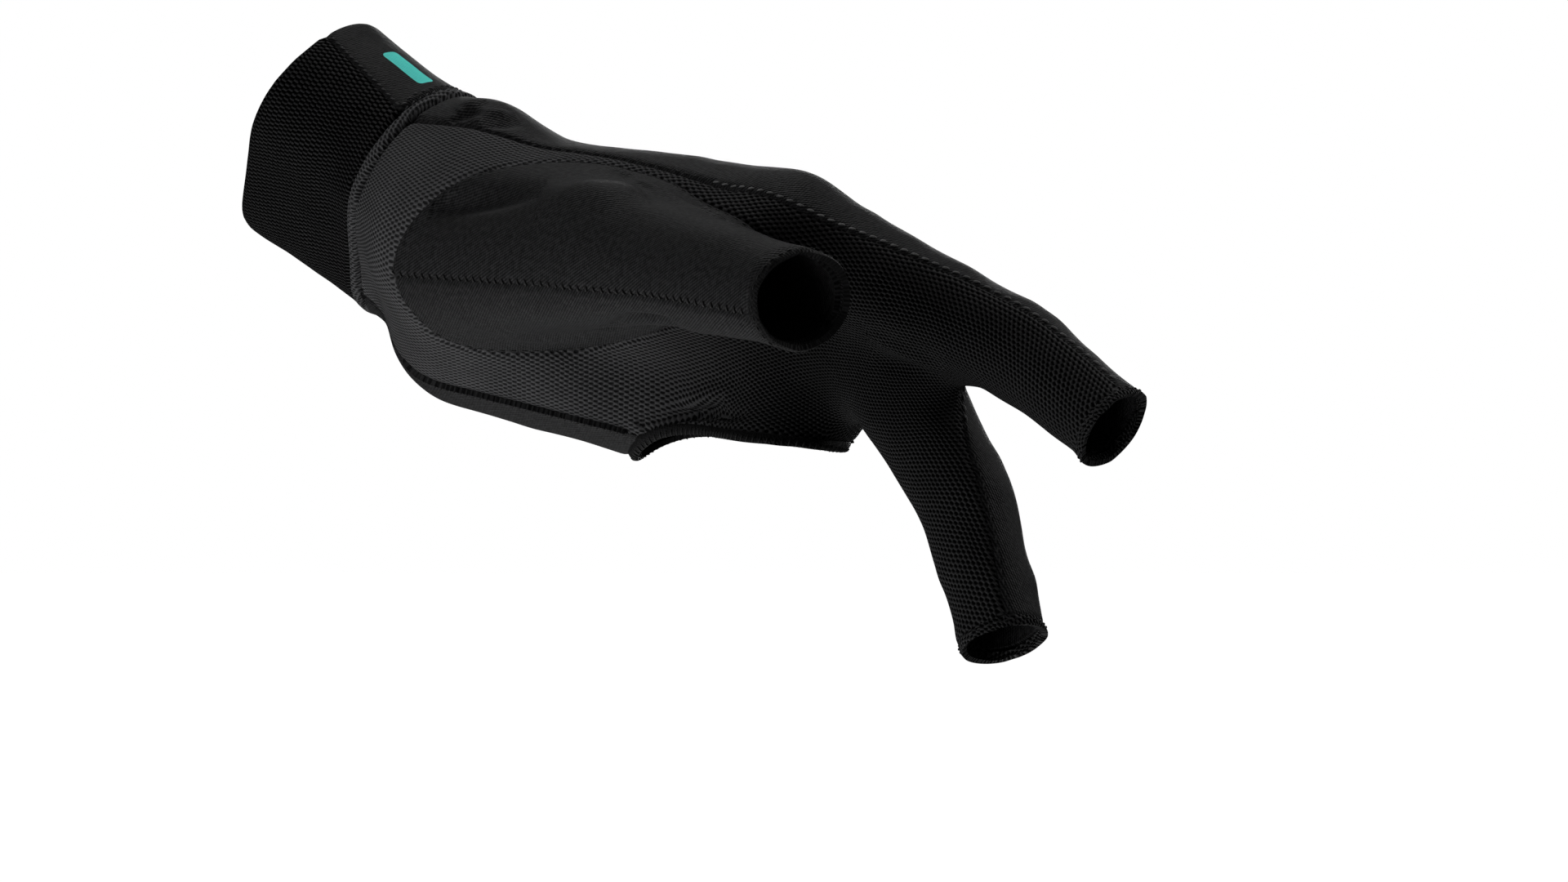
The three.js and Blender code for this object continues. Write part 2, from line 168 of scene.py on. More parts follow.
# a flat pattern in millimetres, with the grain running up it
def unwrap(sheet, grain):
    for old in list(sheet.data.uv_layers):
        sheet.data.uv_layers.remove(old)
    sheet.data.uv_layers.new(name="pattern")
    edit(sheet, "FACE")
    bpy.ops.mesh.select_all(action="SELECT")
    bpy.ops.uv.unwrap(method="ANGLE_BASED", margin=0)
    leave()
    mesh = sheet.data
    uv = np.zeros(len(mesh.loops) * 2)
    mesh.uv_layers["pattern"].data.foreach_get("uv", uv)
    uv = uv.reshape(-1, 2)
    corner = np.array([mesh.vertices[loop.vertex_index].co for loop in mesh.loops])
    flatArea = 0
    for face in mesh.polygons:
        around = uv[face.loop_start : face.loop_start + face.loop_total]
        after = np.roll(around, -1, axis=0)
        flatArea += abs((around[:, 0] * after[:, 1] - around[:, 1] * after[:, 0]).sum()) / 2
    size = math.sqrt(sum(face.area for face in mesh.polygons) / flatArea) / mm
    uv = (uv - uv.mean(axis=0)) * size
    slope = np.linalg.lstsq(corner - corner.mean(axis=0), uv, rcond=None)[0]
    way = np.array(grain) @ slope
    turn = math.pi / 2 - math.atan2(way[1], way[0])
    c, s = math.cos(turn), math.sin(turn)
    uv = uv @ np.array([[c, s], [-s, c]])
    mesh.uv_layers["pattern"].data.foreach_set("uv", uv.ravel())
    width, length = uv.max(axis=0) - uv.min(axis=0)
    area = flatArea * size * size
    print(f"  {sheet.name}: flat {width:.1f} x {length:.1f} mm, {area / 100:.1f} cm2")
    return {"width": width, "length": length, "area": area}


# finer faces, evened out between the edges
fineness = 3
evenOut = {"factor": 0.5, "repeat": 8}


def refine(sheet):
    useModifier(sheet, "smooth", "SUBSURF", levels=fineness, render_levels=fineness)
    shape = edit(sheet)
    for v in shape.verts:
        v.select_set(not v.is_boundary)
    bmesh.update_edit_mesh(sheet.data)
    bpy.ops.mesh.vertices_smooth(**evenOut)
    leave()


# where faces lie doubled over, the cloth round them is evened out again
sharpest = math.radians(65)
evenOutFolded = {"factor": 0.5, "repeat": 10}


def relaxFolded(sheet, rounds=8):
    for _ in range(rounds):
        shape = edit(sheet)
        inner = [edge for edge in shape.edges if len(edge.link_faces) == 2]
        folded = [edge for edge in inner if edge.calc_face_angle() > sharpest]
        if not folded:
            leave()
            return
        for v in [v for edge in folded for face in edge.link_faces for v in face.verts]:
            v.select_set(True)
        shape.select_flush_mode()
        bpy.ops.mesh.select_more()
        bpy.ops.mesh.select_more()
        for v in shape.verts:
            if v.is_boundary:
                v.select_set(False)
        shape.select_flush_mode()
        bmesh.update_edit_mesh(sheet.data)
        bpy.ops.mesh.vertices_smooth(**evenOutFolded)
        leave()
    print(f"  {sheet.name}: {len(folded)} edges still sharp")


panels = {
    "cuff_mesh": {"node": "cuff_palm", "grain": (-0.75, 0.41, 0.52), "finish": "cuffMesh",
                  "slot": "mesh_knit"},
    "cuff_smooth": {"node": "cuff_back", "grain": (-0.75, 0.41, 0.52), "finish": "printed",
                    "slot": "smooth_knit"},
    "palm_mesh": {"node": "palm_panel", "grain": (0.85, -0.4, -0.35), "finish": "mesh", "slot": "mesh_knit"},
    "back_smooth": {"node": "back_panel", "grain": (0.85, -0.4, -0.35), "finish": "smooth",
                    "slot": "smooth_knit"},
    "thumb_upper": {"node": "thumb_top", "grain": (0.7, -0.7, -0.15), "finish": "smooth",
                    "slot": "smooth_knit"},
    "thumb_lower": {"node": "thumb_under", "grain": (0.7, -0.7, -0.15), "finish": "smooth",
                    "slot": "smooth_knit"},
    "wrist_band": {"node": "wrist_welt", "grain": (-0.75, 0.41, 0.52), "finish": "mesh", "slot": "edge_trim"},
    "palm_edge": {"node": "palm_hem", "grain": (0, 0, 1), "finish": "edge", "slot": "edge_trim"},
    "thumb_edge": {"node": "thumb_hem", "grain": (0.7, -0.7, -0.15), "finish": "edge", "slot": "edge_trim"},
    "index_edge": {"node": "index_hem", "grain": (0.6, -0.5, -0.6), "finish": "mesh", "slot": "edge_trim"},
    "middle_edge": {"node": "middle_hem", "grain": (0.2, -0.3, -0.9), "finish": "mesh", "slot": "edge_trim"},
}
sheets = {}
for name, panel in panels.items():
    sheet = outerSheet(panel["node"], name)
    unwrap(sheet, panel["grain"])
    refine(sheet)
    sheets[name] = sheet
print("sheets made")


# the edges of the sheets, and what lies across them
def rimsOf(sheet):
    shape = bmesh.new()
    shape.from_mesh(sheet.data)
    following = {}
    for edge in shape.edges:
        if len(edge.link_faces) == 1:
            loop = edge.link_loops[0]
            following[loop.vert.index] = loop.link_loop_next.vert.index
    shape.free()
    found = []
    while following:
        start, here = following.popitem()
        ring = [start]
        while here != start:
            ring.append(here)
            here = following.pop(here)
        found.append(ring)
    return found


def pointTree(points):
    tree = kdtree.KDTree(len(points))
    for n, p in enumerate(points):
        tree.insert(p, n)
    tree.balance()
    return tree


rings = {name: rimsOf(sheet) for name, sheet in sheets.items()}
seamReach = 1.3 * mm  # a neighbour's edge is closer than this
clothFollows = 2 * mm  # as far in as the cloth moves with its edge


# the edges of neighbours meet halfway, so no light comes through
def closeSeams():
    place = {name: readVertices(sheet) for name, sheet in sheets.items()}
    rims = {name: np.concatenate([place[name][ring] for ring in rings[name]]) for name in sheets}
    trees = {name: pointTree(points) for name, points in rims.items()}
    for name, sheet in sheets.items():
        shift = []
        for p in rims[name]:
            near = [trees[other].find(p) for other in sheets if other != name]
            meeting = [np.array(found[0]) for found in near if found[2] < seamReach]
            shift.append(np.mean([p, *meeting], axis=0) - p)
        moved = place[name].copy()
        for v, p in enumerate(place[name]):
            _, n, distance = trees[name].find(p)
            moved[v] += shift[n] * max(0, 1 - distance / clothFollows) ** 2
        moveVertices(sheet, moved)


# a turned edge lies almost flush with the cloth beside it
edgeSink = 0.35 * mm
for name in ["palm_edge", "thumb_edge", "index_edge", "middle_edge"]:
    moveVertices(sheets[name], readVertices(sheets[name]) - readVertices(sheets[name], "normal") * edgeSink)
closeSeams()
for sheet in sheets.values():
    relaxFolded(sheet)


def measureEdges():
    place = {name: readVertices(sheet) for name, sheet in sheets.items()}
    edgePlace = {name: np.concatenate([place[name][ring] for ring in rings[name]]) for name in sheets}
    trees = {name: pointTree(points) for name, points in edgePlace.items()}
    for name, sheet in sheets.items():
        across = []
        for p in edgePlace[name]:
            near = [(trees[other].find(p)[2], other) for other in sheets if other != name]
            distance, other = min(near)
            across.append(other if distance < seamReach else "open")
        toEdge, beside = [], []
        for p in place[name]:
            _, n, distance = trees[name].find(p)
            toEdge.append(distance)
            beside.append(across[n])
        edges[name] = {"distance": np.array(toEdge), "across": np.array(beside)}


edges = {}
measureEdges()
print("seams found")


def facesTree(*names):
    place, faces = [], []
    for name in names:
        first = len(place)
        place += [v.co.copy() for v in sheets[name].data.vertices]
        faces += [[first + v for v in face.vertices] for face in sheets[name].data.polygons]
    return BVHTree.FromPolygons(place, faces)


# folds that the photograph shows: the pixels that each runs through, half its width and its height in mm
folds = [
    {"on": ["back_smooth"], "through": [(560, 136), (575, 128), (596, 124)], "width": 0.8, "height": 1.7},
    {"on": ["back_smooth"], "through": [(556, 166), (575, 150), (600, 139), (632, 143)], "width": 0.9,
     "height": 2.1},
    {"on": ["back_smooth"], "through": [(545, 150), (575, 139), (610, 131)], "width": 0.9, "height": -1.9},
    {"on": ["back_smooth"], "through": [(575, 163), (600, 154), (640, 152)], "width": 1.0, "height": -0.7},
    {"on": ["palm_mesh"], "through": [(782, 526), (830, 506), (890, 494)], "width": 1.6, "height": -3.0},
    {"on": ["palm_mesh"], "through": [(800, 520), (850, 511), (915, 507)], "width": 1.1, "height": -1.5},
    {"on": ["palm_mesh"], "through": [(800, 512), (850, 492), (900, 478)], "width": 1.8, "height": 1.4},
    {"on": ["thumb_upper"], "through": [(524, 254), (591, 242), (665, 232)], "width": 3.2, "height": -2.9},
    {"on": ["thumb_upper"], "through": [(655, 262), (715, 236), (790, 238)], "width": 5, "height": 1.9},
    {"on": ["thumb_upper"], "through": [(750, 206), (800, 230), (850, 256), (905, 280)], "width": 0.9,
     "height": 1.7},
    {"on": ["thumb_lower"], "through": [(740, 404), (780, 392), (830, 396)], "width": 1.8, "height": -1.9},
    {"on": ["thumb_lower"], "through": [(560, 392), (650, 412), (735, 415)], "width": 3.0, "height": 1.0},
    {"on": ["palm_mesh"], "through": [(1060, 410), (1110, 432), (1160, 458)], "width": 2.0, "height": 1.0},
    {"on": ["palm_mesh"], "through": [(1070, 440), (1110, 450), (1160, 466)], "width": 1.6, "height": -1.0},
    {"on": ["cuff_mesh"], "through": [(440, 130), (400, 200), (392, 270)], "width": 5.0, "height": -0.7},
]


foldPoints = 28  # along each fold
foldFade = 1.5 * mm  # a fold dies out this close to a seam
foldEnds = 0.6  # the lower, the blunter its ends


def castLine(name, pixels):
    tree = facesTree(name)
    corner = np.array(pixels, float)
    share = np.linspace(0, len(corner) - 1, foldPoints)
    line = []
    for s in share:
        px, py = (np.interp(s, np.arange(len(corner)), corner[:, k]) for k in (0, 1))
        hit = tree.ray_cast(view["place"], sightLine(px, py))[0]
        if hit:
            line.append(hit)
    return np.array(line)


def pressFold(fold):
    for name in fold["on"]:
        line = castLine(name, fold["through"])
        if not len(line):
            print("  no cloth under the fold through", fold["through"][0])
            continue
        place = readVertices(sheets[name])
        away = np.linalg.norm(place[:, None] - line[None], axis=2)
        along = away.argmin(axis=1) / (len(line) - 1)
        profile = np.exp(-((away.min(axis=1) / (fold["width"] * mm)) ** 2))
        profile *= np.sin(np.pi * along) ** foldEnds
        profile *= np.clip(edges[name]["distance"] / foldFade, 0, 1)
        moved = place + readVertices(sheets[name], "normal") * (profile * fold["height"] * mm)[:, None]
        moveVertices(sheets[name], moved)


for fold in folds:
    pressFold(fold)


# knitted cloth is never quite even: length and height of its waves in mm
unevenness = [{"length": 16, "height": 0.35}, {"length": 5, "height": 0.07}]


def unsettle(sheet):
    place = readVertices(sheet)
    lift = np.zeros(len(place))
    for wave in unevenness:
        scaled = place / (wave["length"] * mm)
        lift += np.array([noise.noise(p) for p in scaled]) * wave["height"] * mm
    moveVertices(sheet, place + readVertices(sheet, "normal") * lift[:, None])


for sheet in sheets.values():
    unsettle(sheet)
print("folds pressed")

# how cloth turns down into a seam or lifts off it, in mm: the last row that fits an edge counts
turns = [
    {"on": "any", "across": "any", "drop": 0.45, "width": 1.5},
    {"on": "wrist_band", "across": "any", "drop": 1.7, "width": 0.8},
    {"on": "any", "across": "wrist_band", "drop": 1.7, "width": 1.1},
    {"on": "back_smooth", "across": "palm_mesh", "drop": -0.5, "width": 2.6, "box": (480, 440, 790, 570)},
    {"on": "palm_mesh", "across": "back_smooth", "drop": 0.9, "width": 2.2, "box": (480, 440, 790, 570)},
    {"on": "any", "across": "index_edge", "drop": 0.2, "width": 0.9},
    {"on": "any", "across": "middle_edge", "drop": 0.2, "width": 0.9},
    {"on": "back_smooth", "across": "palm_mesh", "drop": 0.9, "width": 1.6, "box": (500, 100, 900, 300)},
    {"on": "palm_mesh", "across": "back_smooth", "drop": 0.9, "width": 1.8, "box": (500, 100, 900, 300)},
    {"on": "thumb_upper", "across": "thumb_lower", "drop": 0.6, "width": 1.3},
    {"on": "thumb_lower", "across": "thumb_upper", "drop": 0.6, "width": 1.3},
    {"on": "palm_edge", "across": "any", "drop": 0.5, "width": 1.0},
    {"on": "thumb_edge", "across": "any", "drop": 0.5, "width": 1.0},
    {"on": "index_edge", "across": "any", "drop": 0.2, "width": 0.9},
    {"on": "middle_edge", "across": "any", "drop": 0.2, "width": 0.9},
]


def turnEdges(name):
    place = readVertices(sheets[name])
    shown = pixelOf(place)
    drop = np.zeros(len(place))
    for turn in turns:
        if turn["on"] not in ("any", name):
            continue
        here = np.ones(len(place),
                       bool) if turn["across"] == "any" else edges[name]["across"] == turn["across"]
        if "box" in turn:
            x0, y0, x1, y1 = turn["box"]
            here &= (shown[:, 0] > x0) & (shown[:, 0] < x1) & (shown[:, 1] > y0) & (shown[:, 1] < y1)
        share = np.clip(1 - edges[name]["distance"] / (turn["width"] * mm), 0, 1) ** 2
        drop[here] = (share * turn["drop"] * mm)[here]
    moveVertices(sheets[name], place - readVertices(sheets[name], "normal") * drop[:, None])


for name in sheets:
    turnEdges(name)
for _ in range(4):  # corners where three panels meet need several rounds
    closeSeams()
for sheet in sheets.values():
    relaxFolded(sheet)
print("edges turned")


# stitches: one is modelled, and copied along the seams
stitchEnd = {"from": 0.35, "sinks": 0.35}  # in lengths of the stitch


def addStitch():
    bpy.ops.mesh.primitive_uv_sphere_add(segments=8, ring_count=6, radius=0.5)
    stitch = bpy.context.object
    stitch.name = "stitch"
    edit(stitch)
    bpy.ops.mesh.select_all(action="SELECT")
    bpy.ops.transform.rotate(value=math.pi / 2, orient_axis="Y", center_override=(0, 0, 0))
    leave()
    shape = edit(stitch)
    for v in shape.verts:  # both ends go down into the cloth
        v.select_set(abs(v.co.x) > stitchEnd["from"])
    bmesh.update_edit_mesh(stitch.data)
    bpy.ops.transform.translate(value=(0, 0, -stitchEnd["sinks"]))
    leave()
    return stitch


def seamRuns(name, across, box=None):
    place = readVertices(sheets[name])
    shown = pixelOf(place)
    runs = []
    for ring in rings[name]:
        fits = [edges[name]["across"][v] == across for v in ring]
        if box:
            x0, y0, x1, y1 = box
            fits = [f and x0 < shown[v][0] < x1 and y0 < shown[v][1] < y1 for f, v in zip(fits, ring)]
        if all(fits):
            runs.append(place[ring + ring[:1]])
            continue
        first = fits.index(False)
        run = []
        for n in range(len(ring) + 1):
            here = (first + n) % len(ring)
            if fits[here]:
                run.append(ring[here])
            elif run:
                runs.append(place[run])
                run = []
    return [run for run in runs if len(run) > 3]


def evenPoints(line, pitch):
    step = np.linalg.norm(np.diff(line, axis=0), axis=1)
    travelled = np.concatenate([[0], np.cumsum(step)])
    at = np.arange(pitch, travelled[-1] - pitch / 2, pitch)

    def pointAt(s):
        return np.stack([np.interp(s, travelled, line[:, k]) for k in range(3)], axis=1)

    return pointAt(at), pointAt(at + pitch / 2) - pointAt(at - pitch / 2)


# what each row runs on and beside, how far in it lies and its stitches' size in mm, and their lean in degrees
threads = {
    # the radial seam's stitches are one thread: made pale beyond the thumb as painted glints, and dark nearer
    # the wrist
    "radial_stitches": {
        "on": "back_smooth", "across": "palm_mesh", "box": (860, 100, 1410, 520),
        "inset": 0.9, "pitch": 2.1, "length": 1.5, "thick": 0.42, "lean": 14, "thread": "pale"},
    "radial_stitches_near_wrist": {
        "on": "back_smooth", "across": "palm_mesh", "box": (490, 100, 860, 300),
        "inset": 0.9, "pitch": 2.1, "length": 1.4, "thick": 0.32, "lean": 0, "thread": "dark"},
    "cuff_seam_stitches": {
        "on": "cuff_smooth", "across": "cuff_mesh",
        "inset": 0.8, "pitch": 1.5, "length": 1.1, "thick": 0.3, "lean": 25, "thread": "grey"},
    "cuff_smooth_stitches_low": {
        "on": "cuff_smooth", "across": "wrist_band",
        "inset": 1.2, "pitch": 1.7, "length": 1.2, "thick": 0.34, "lean": 20, "thread": "grey"},
    "cuff_smooth_stitches_high": {
        "on": "cuff_smooth", "across": "wrist_band",
        "inset": 3.2, "pitch": 1.7, "length": 1.2, "thick": 0.34, "lean": -20, "thread": "grey"},
    "thumb_seam_stitches": {
        "on": "thumb_upper", "across": "thumb_lower",
        "inset": 0.5, "pitch": 1.9, "length": 1.7, "thick": 0.55, "lean": 75, "thread": "black"},
    "thumb_round_stitches": {
        "on": "thumb_upper", "across": "palm_mesh",
        "inset": 0.9, "pitch": 2.2, "length": 1.4, "thick": 0.28, "lean": 0, "thread": "dark"},
    "thumb_round_stitches_low": {
        "on": "thumb_lower", "across": "palm_mesh",
        "inset": 0.9, "pitch": 2.2, "length": 1.4, "thick": 0.28, "lean": 0, "thread": "dark"},
    "ulnar_overlock": {
        "on": "back_smooth", "across": "palm_mesh", "box": (480, 440, 800, 570),
        "inset": 0.3, "pitch": 1.3, "length": 1.5, "thick": 0.34, "lean": 70, "thread": "dark"},
    "middle_seam_stitches": {
        "on": "back_smooth", "across": "palm_mesh", "box": (1100, 500, 1300, 800),
        "inset": 0.8, "pitch": 2.1, "length": 1.4, "thick": 0.3, "lean": 0, "thread": "dark"},
    "palm_edge_stitches": {
        "on": "palm_edge", "across": "open",
        "inset": 0.7, "pitch": 1.4, "length": 1.5, "thick": 0.34, "lean": 75, "thread": "dark"},
    "index_edge_stitches": {
        "on": "index_edge", "across": "open",
        "inset": 1.3, "pitch": 1.8, "length": 1.2, "thick": 0.28, "lean": 0, "thread": "dark"},
    "middle_edge_stitches": {
        "on": "middle_edge", "across": "open",
        "inset": 1.3, "pitch": 1.8, "length": 1.2, "thick": 0.28, "lean": 0, "thread": "dark"},
    "thumb_edge_stitches": {
        "on": "thumb_edge", "across": "open",
        "inset": 1.2, "pitch": 1.8, "length": 1.2, "thick": 0.28, "lean": 0, "thread": "dark"},
}


def sew(name, row, model):
    tree = facesTree(row["on"])
    copies = []
    for line in seamRuns(row["on"], row["across"], row.get("box")):
        for place, way in zip(*evenPoints(line, row["pitch"] * mm)):
            place, along = Vector(place), Vector(way).normalized()
            up = tree.find_nearest(place)[1]
            spot, up = tree.find_nearest(place + up.cross(along) * row["inset"] * mm)[:2]
            along = (along - up * along.dot(up)).normalized()
            along = Matrix.Rotation(math.radians(row["lean"]), 3, up) @ along
            turn = Matrix((along, up.cross(along), up)).transposed().to_4x4()
            size = Matrix.Diagonal((row["length"] * mm, row["thick"] * mm, row["thick"] * mm, 1))
            copy = bpy.data.objects.new(name, model.data.copy())
            standsProud = row["thick"] / 4 * mm
            copy.data.transform(Matrix.Translation(spot + up * standsProud) @ turn @ size)
            scene.collection.objects.link(copy)
            copies.append(copy)
    pick(*copies)
    bpy.ops.object.join()
    seam = bpy.context.object
    seam.name = seam.data.name = name
    bpy.ops.object.shade_smooth()
    print(f"  {name}: {len(copies)} stitches")
    return seam


model = addStitch()
seams = {name: sew(name, row, model) for name, row in threads.items()}
remove(model)
print("seams sewn")


# thickness, with a coarser inner side on the largest panel
clothThickness = 1.1 * mm
coarserInside = {"back_smooth": 0.7}
keptSharp = math.radians(50)


def addWall(sheet):
    sheet.vertex_groups.new(name="inner")
    useModifier(sheet, "wall", "SOLIDIFY", thickness=clothThickness, offset=-1, shell_vertex_group="inner")
    if sheet.name in coarserInside:
        share = coarserInside[sheet.name]
        useModifier(sheet, "thin", "DECIMATE", ratio=share, vertex_group="inner", vertex_group_factor=1)
    sheet.vertex_groups.clear()


for name, sheet in sheets.items():
    addWall(sheet)
    pick(sheet)
    bpy.ops.object.shade_smooth_by_angle(angle=keptSharp)
    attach(sheet, "root")
    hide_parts(panels[name]["node"])
    print(f"  {name}: {sum(len(face.vertices) - 2 for face in sheet.data.polygons)} triangles")
print("walls made")


# finishes
def srgb(colour):  # "#rrggbb" to linear
    parts = [int(colour[n : n + 2], 16) / 255 for n in (1, 3, 5)]
    return [c / 12.92 if c <= 0.04045 else ((c + 0.055) / 1.055) ** 2.4 for c in parts] + [1]


def addNode(tree, kind, inputs=None, **settings):
    node = tree.nodes.new(kind)
    for setting, value in settings.items():
        setattr(node, setting, value)
    for socket, value in (inputs or {}).items():
        if isinstance(value, bpy.types.NodeSocket):
            tree.links.new(value, node.inputs[socket])
        else:
            node.inputs[socket].default_value = value
    return node


def newFinish(name, **shader):
    finish = bpy.data.materials.new(name)
    finish.use_nodes = True
    tree = finish.node_tree
    principled = tree.nodes["Principled BSDF"]
    for socket, value in shader.items():
        principled.inputs[socket.replace("_", " ")].default_value = value
    return finish, tree, principled


# open mesh knit of matt polyester: rows of small dark holes between soft raised loops, in mm; the real ones
# are about 0.8 mm apart, a little too fine to show, so they are drawn coarser
paintedLightGain = 2.6  # how much the painted light along the hand lifts the yarn's own colour


def meshKnit(name, knit):
    finish, tree, principled = newFinish(name, Roughness=0.7, Sheen_Weight=knit["sheen"])
    pattern = addNode(tree, "ShaderNodeUVMap", uv_map="pattern")
    sway = addNode(tree, "ShaderNodeTexNoise", {"Vector": pattern.outputs["UV"], "Scale": 0.12, "Detail": 1})
    shift = addNode(tree, "ShaderNodeVectorMath", {0: sway.outputs["Color"], 1: (0.5, 0.5, 0.5)},
                    operation="SUBTRACT")
    swayed = addNode(tree, "ShaderNodeVectorMath",
                     {0: shift.outputs[0], 1: (0.8, 0.8, 0), 2: pattern.outputs["UV"]},
                     operation="MULTIPLY_ADD")
    parts = addNode(tree, "ShaderNodeSeparateXYZ", {0: swayed.outputs[0]})
    across = addNode(tree, "ShaderNodeMath", {0: parts.outputs["X"], 1: 2 * math.pi / knit["across"]},
                     operation="MULTIPLY")
    along = addNode(tree, "ShaderNodeMath", {0: parts.outputs["Y"], 1: 2 * math.pi / knit["along"]},
                    operation="MULTIPLY")
    waveAcross = addNode(tree, "ShaderNodeMath", {0: across.outputs[0]}, operation="COSINE")
    waveAlong = addNode(tree, "ShaderNodeMath", {0: along.outputs[0]}, operation="COSINE")
    loops = addNode(tree, "ShaderNodeMath", {0: waveAcross.outputs[0], 1: waveAlong.outputs[0]},
                    operation="MULTIPLY")
    fuzz = addNode(tree, "ShaderNodeTexNoise", {"Vector": pattern.outputs["UV"], "Scale": 2.6, "Detail": 3})
    holes = addNode(tree, "ShaderNodeMath", {0: fuzz.outputs["Fac"], 1: 0.7, 2: loops.outputs[0]},
                    operation="MULTIPLY_ADD")
    hole = addNode(tree, "ShaderNodeMapRange",
                   {"Value": holes.outputs[0], "From Min": knit["holes"][0], "From Max": knit["holes"][1]},
                   interpolation_type="SMOOTHSTEP")
    wear = addNode(tree, "ShaderNodeTexNoise", {"Vector": pattern.outputs["UV"], "Scale": 0.09, "Detail": 2})
    yarn = addNode(tree, "ShaderNodeMix",
                   {"Factor": wear.outputs["Fac"], "A": srgb(knit["dark"]), "B": srgb(knit["light"])},
                   data_type="RGBA")
    # painted light and shade along the hand: lighter near the wrist and the heel of the palm, where the light
    # falls, darkest in the shade of the thumb round the web, and the holes close up a little where it is
    # painted lighter
    place = addNode(tree, "ShaderNodeTexCoord")
    fromWrist = addNode(tree, "ShaderNodeSeparateXYZ", {0: place.outputs["Object"]})
    paintedLightRamp = addNode(tree, "ShaderNodeValToRGB", {0: fromWrist.outputs["X"]})
    paintedLightRamp.color_ramp.interpolation = "B_SPLINE"
    ends = paintedLightRamp.color_ramp.elements
    while len(ends) < len(knit["paintedLightRamp"]):
        ends.new(0.5)
    for end, (x, amount) in zip(ends, knit["paintedLightRamp"]):
        end.position = x * mm
        end.color = (amount, amount, amount, 1)
    holesShutInPaintedLight = addNode(tree, "ShaderNodeMapRange",
                     {"Value": paintedLightRamp.outputs["Color"], "From Min": 0.2, "From Max": 0.9,
                      "To Min": 1, "To Max": knit["holesShutInPaintedLight"]})
    hole = addNode(tree, "ShaderNodeMath", {0: hole.outputs[0], 1: holesShutInPaintedLight.outputs[0]}, operation="MULTIPLY")
    paintedLightLevel = addNode(tree, "ShaderNodeMath", {0: paintedLightRamp.outputs["Color"], 1: paintedLightGain}, operation="MULTIPLY")
    yarnWithPaintedLight = addNode(tree, "ShaderNodeVectorMath", {0: yarn.outputs["Result"], "Scale": paintedLightLevel.outputs[0]},
                    operation="SCALE")
    cloth = addNode(tree, "ShaderNodeMix",
                    {"Factor": hole.outputs[0], "A": yarnWithPaintedLight.outputs[0], "B": srgb(knit["hole"])},
                    data_type="RGBA")
    tree.links.new(cloth.outputs["Result"], principled.inputs["Base Color"])
    shine = addNode(tree, "ShaderNodeMapRange", {"Value": hole.outputs[0], "To Min": 0.16, "To Max": 0})
    tree.links.new(shine.outputs[0], principled.inputs["Specular IOR Level"])
    relief = addNode(tree, "ShaderNodeMath", {0: holes.outputs[0], 1: -1}, operation="MULTIPLY")
    bump = addNode(tree, "ShaderNodeBump",
                   {"Height": relief.outputs[0], "Strength": 0.8, "Distance": knit["relief"] * mm})
    tree.links.new(bump.outputs[0], principled.inputs["Normal"])
    return finish


# smooth stretch knit of polyamide and elastane: fine slanting ribs and a faint sheen; the real ribs are about
# 0.36 mm apart, too fine to show, so they are drawn 0.6 mm apart
barCorner = {"From Min": 1.05, "From Max": 0.95}  # the printed bar's corner radius in mm, softly edged


